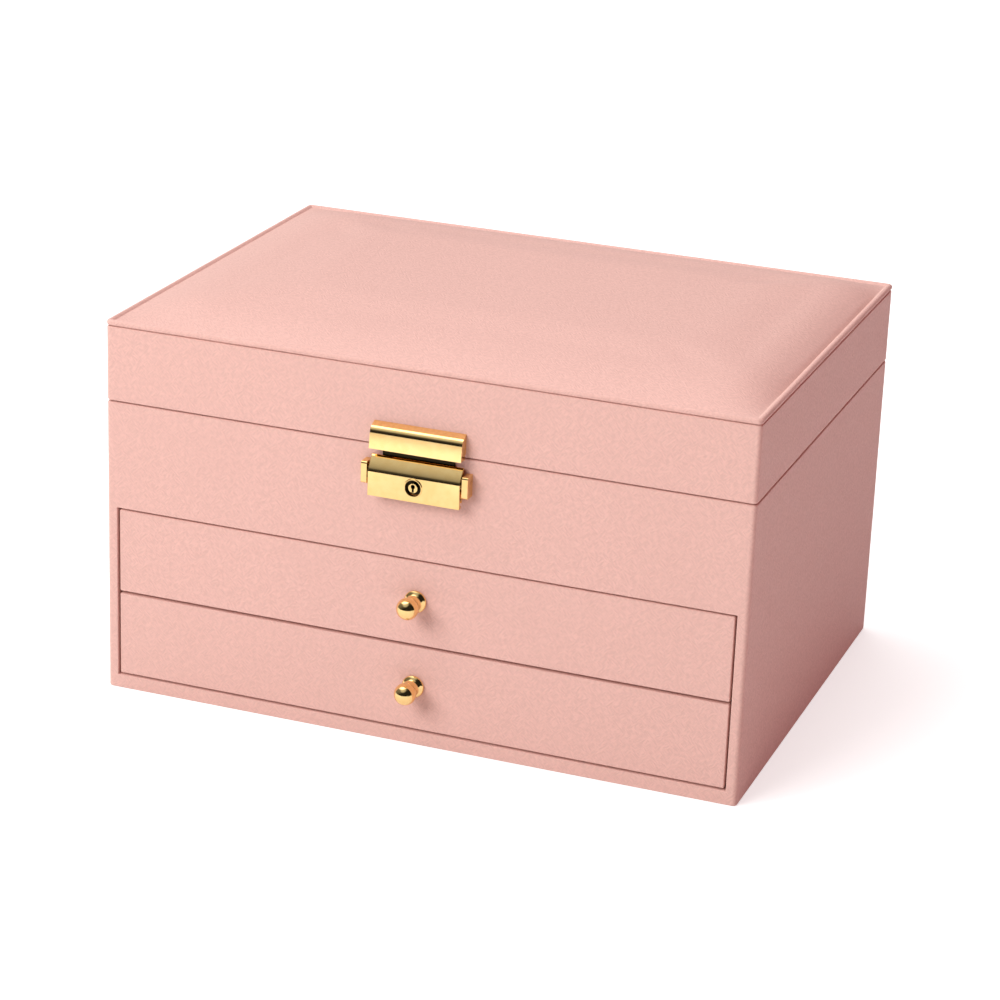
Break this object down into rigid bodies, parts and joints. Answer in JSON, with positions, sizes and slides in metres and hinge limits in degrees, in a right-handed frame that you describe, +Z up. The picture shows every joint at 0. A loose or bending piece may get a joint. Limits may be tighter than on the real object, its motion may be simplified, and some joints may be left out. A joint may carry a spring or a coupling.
{
  "type": "jewellery chest with drawers",
  "caption": "Leather-covered jewellery chest with a padded hinged lid, a lined top compartment, drawers with ball knobs, and a press lock.",
  "frame": {"origin": "middle of the case's underside, on the surface it stands on", "axes": "+X to the right along the chest's width, the front faces -Y, +Z up"},
  "size_m": [0.26, 0.2072, 0.156],
  "materials": {
    "leather": "cross-grained, satin",
    "velvet": "velvet",
    "felt": "felt",
    "foam": "foam",
    "board": "bare fibreboard",
    "gold": "polished gold plate",
    "steel": "satin",
    "mirror_glass": "polished"
  },
  "bodies": {
    "case": {"case_base": "board", "case_side_left": "board", "case_side_right": "board", "case_back": "board", "case_fascia": "board", "case_shelf": "board", "drawer_shelf": "board", "case_cover": "leather", "base_felt": "felt", "compartment_lining": "velvet", "ring_roll_1": "velvet", "ring_roll_2": "velvet", "ring_roll_3": "velvet", "ring_roll_4": "velvet", "divider_long": "velvet", "divider_left": "velvet", "divider_right": "velvet", "hinge_case_leaves": "gold", "hinge_pins": "gold", "hinge_case_screws": "gold", "lock_base": "gold", "lock_pivot_pins": "steel"},
    "lid": {"lid_front": "board", "lid_back": "board", "lid_side_left": "board", "lid_side_right": "board", "lid_top_board": "board", "lid_cover": "leather", "lid_pad": "foam", "lid_top_cover": "leather", "lid_lining": "velvet", "mirror": "mirror_glass", "mirror_frame": "leather", "hinge_lid_leaves": "gold", "hinge_lid_screws": "gold", "lock_striker": "gold"},
    "rocker": {"lock_rocker": "gold", "lock_spring": "steel"},
    "key_plug": {"lock_cylinder": "gold", "lock_cam": "steel"},
    "drawer_upper": {"drawer_upper_front_board": "board", "drawer_upper_front_cover": "leather", "drawer_upper_side_left": "board", "drawer_upper_side_right": "board", "drawer_upper_back": "board", "drawer_upper_bottom": "board", "drawer_upper_lining": "velvet", "drawer_upper_divider": "velvet", "drawer_upper_knob": "gold", "drawer_upper_screw": "steel"},
    "drawer_lower": {"drawer_lower_front_board": "board", "drawer_lower_front_cover": "leather", "drawer_lower_side_left": "board", "drawer_lower_side_right": "board", "drawer_lower_back": "board", "drawer_lower_bottom": "board", "drawer_lower_lining": "velvet", "drawer_lower_divider": "velvet", "drawer_lower_knob": "gold", "drawer_lower_screw": "steel"}
  },
  "joints": [
    {"name": "lid_hinge", "type": "hinge", "parent": "case", "child": "lid", "pos_m": [0, 0.0976, 0.11955], "axis": [-1, 0, 0], "range_deg": [0, 100]},
    {"name": "upper_drawer_slide", "type": "slide", "parent": "case", "child": "drawer_upper", "axis": [0, -1, 0], "range_m": [0, 0.15]},
    {"name": "lower_drawer_slide", "type": "slide", "parent": "case", "child": "drawer_lower", "axis": [0, -1, 0], "range_m": [0, 0.15]},
    {"name": "rocker_pivot", "type": "hinge", "parent": "case", "child": "rocker", "pos_m": [0, -0.0978, 0.109], "axis": [1, 0, 0], "range_deg": [0, 10], "stiffness_Nm_per_rad": 0.05, "springref_deg": -17.19},
    {"name": "key_turn", "type": "hinge", "parent": "rocker", "child": "key_plug", "pos_m": [0, -0.1, 0.1067], "axis": [0, -1, 0], "range_deg": [0, 90]}
  ]
}
